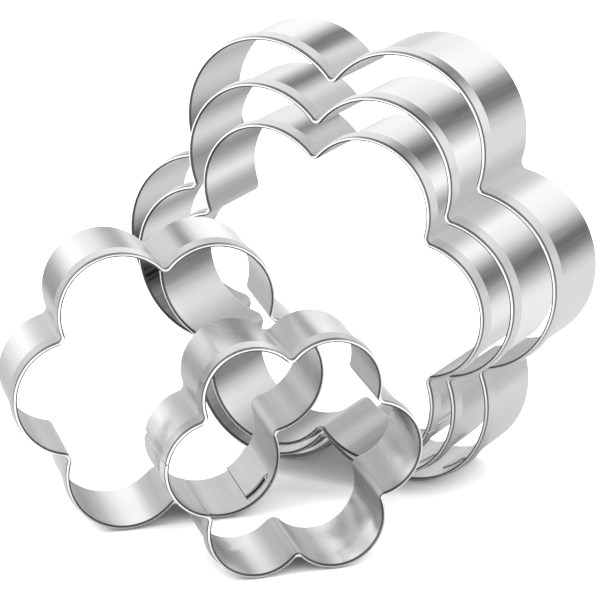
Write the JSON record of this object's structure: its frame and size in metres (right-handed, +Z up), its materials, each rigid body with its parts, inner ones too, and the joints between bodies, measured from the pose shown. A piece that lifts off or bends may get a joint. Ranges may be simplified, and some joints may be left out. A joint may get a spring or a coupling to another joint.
{
  "type": "nesting flower cookie cutter set",
  "caption": "Nesting flower cookie cutters bent from hemmed stainless strip, some nested on edge and some standing by themselves.",
  "frame": {"origin": "on the floor, below the middle of the whole set's bounding box", "axes": "+X to the right across the nest, +Y along the nest from its hemmed fronts to its cutting edges, +Z up"},
  "size_m": [0.1265, 0.1122, 0.1138],
  "materials": {
    "polished_stainless_strip": "polished, bright",
    "weld_metal": "dull"
  },
  "bodies": {
    "largest_cutter": {"largest_cutter_band": "polished_stainless_strip", "largest_cutter_spot_welds": "weld_metal"},
    "large_cutter": {"large_cutter_band": "polished_stainless_strip", "large_cutter_spot_welds": "weld_metal"},
    "medium_cutter": {"medium_cutter_band": "polished_stainless_strip", "medium_cutter_spot_welds": "weld_metal"},
    "small_cutter": {"small_cutter_band": "polished_stainless_strip", "small_cutter_spot_welds": "weld_metal"},
    "smallest_cutter": {"smallest_cutter_band": "polished_stainless_strip", "smallest_cutter_spot_welds": "weld_metal"}
  },
  "joints": [
    {"name": "large_cutter_nest_slide", "type": "slide", "parent": "largest_cutter", "child": "large_cutter", "axis": [0, 1, 0], "range_m": [0, 0.04]},
    {"name": "medium_cutter_nest_slide", "type": "slide", "parent": "large_cutter", "child": "medium_cutter", "axis": [0, 1, 0], "range_m": [0, 0.04]},
    {"name": "small_cutter_lift", "type": "slide", "parent": "largest_cutter", "child": "small_cutter", "axis": [-0.2473, -0.2363, 0.9397], "range_m": [0, 0.13]},
    {"name": "smallest_cutter_lift", "type": "slide", "parent": "largest_cutter", "child": "smallest_cutter", "axis": [0, 0, 1], "range_m": [0, 0.12]}
  ]
}
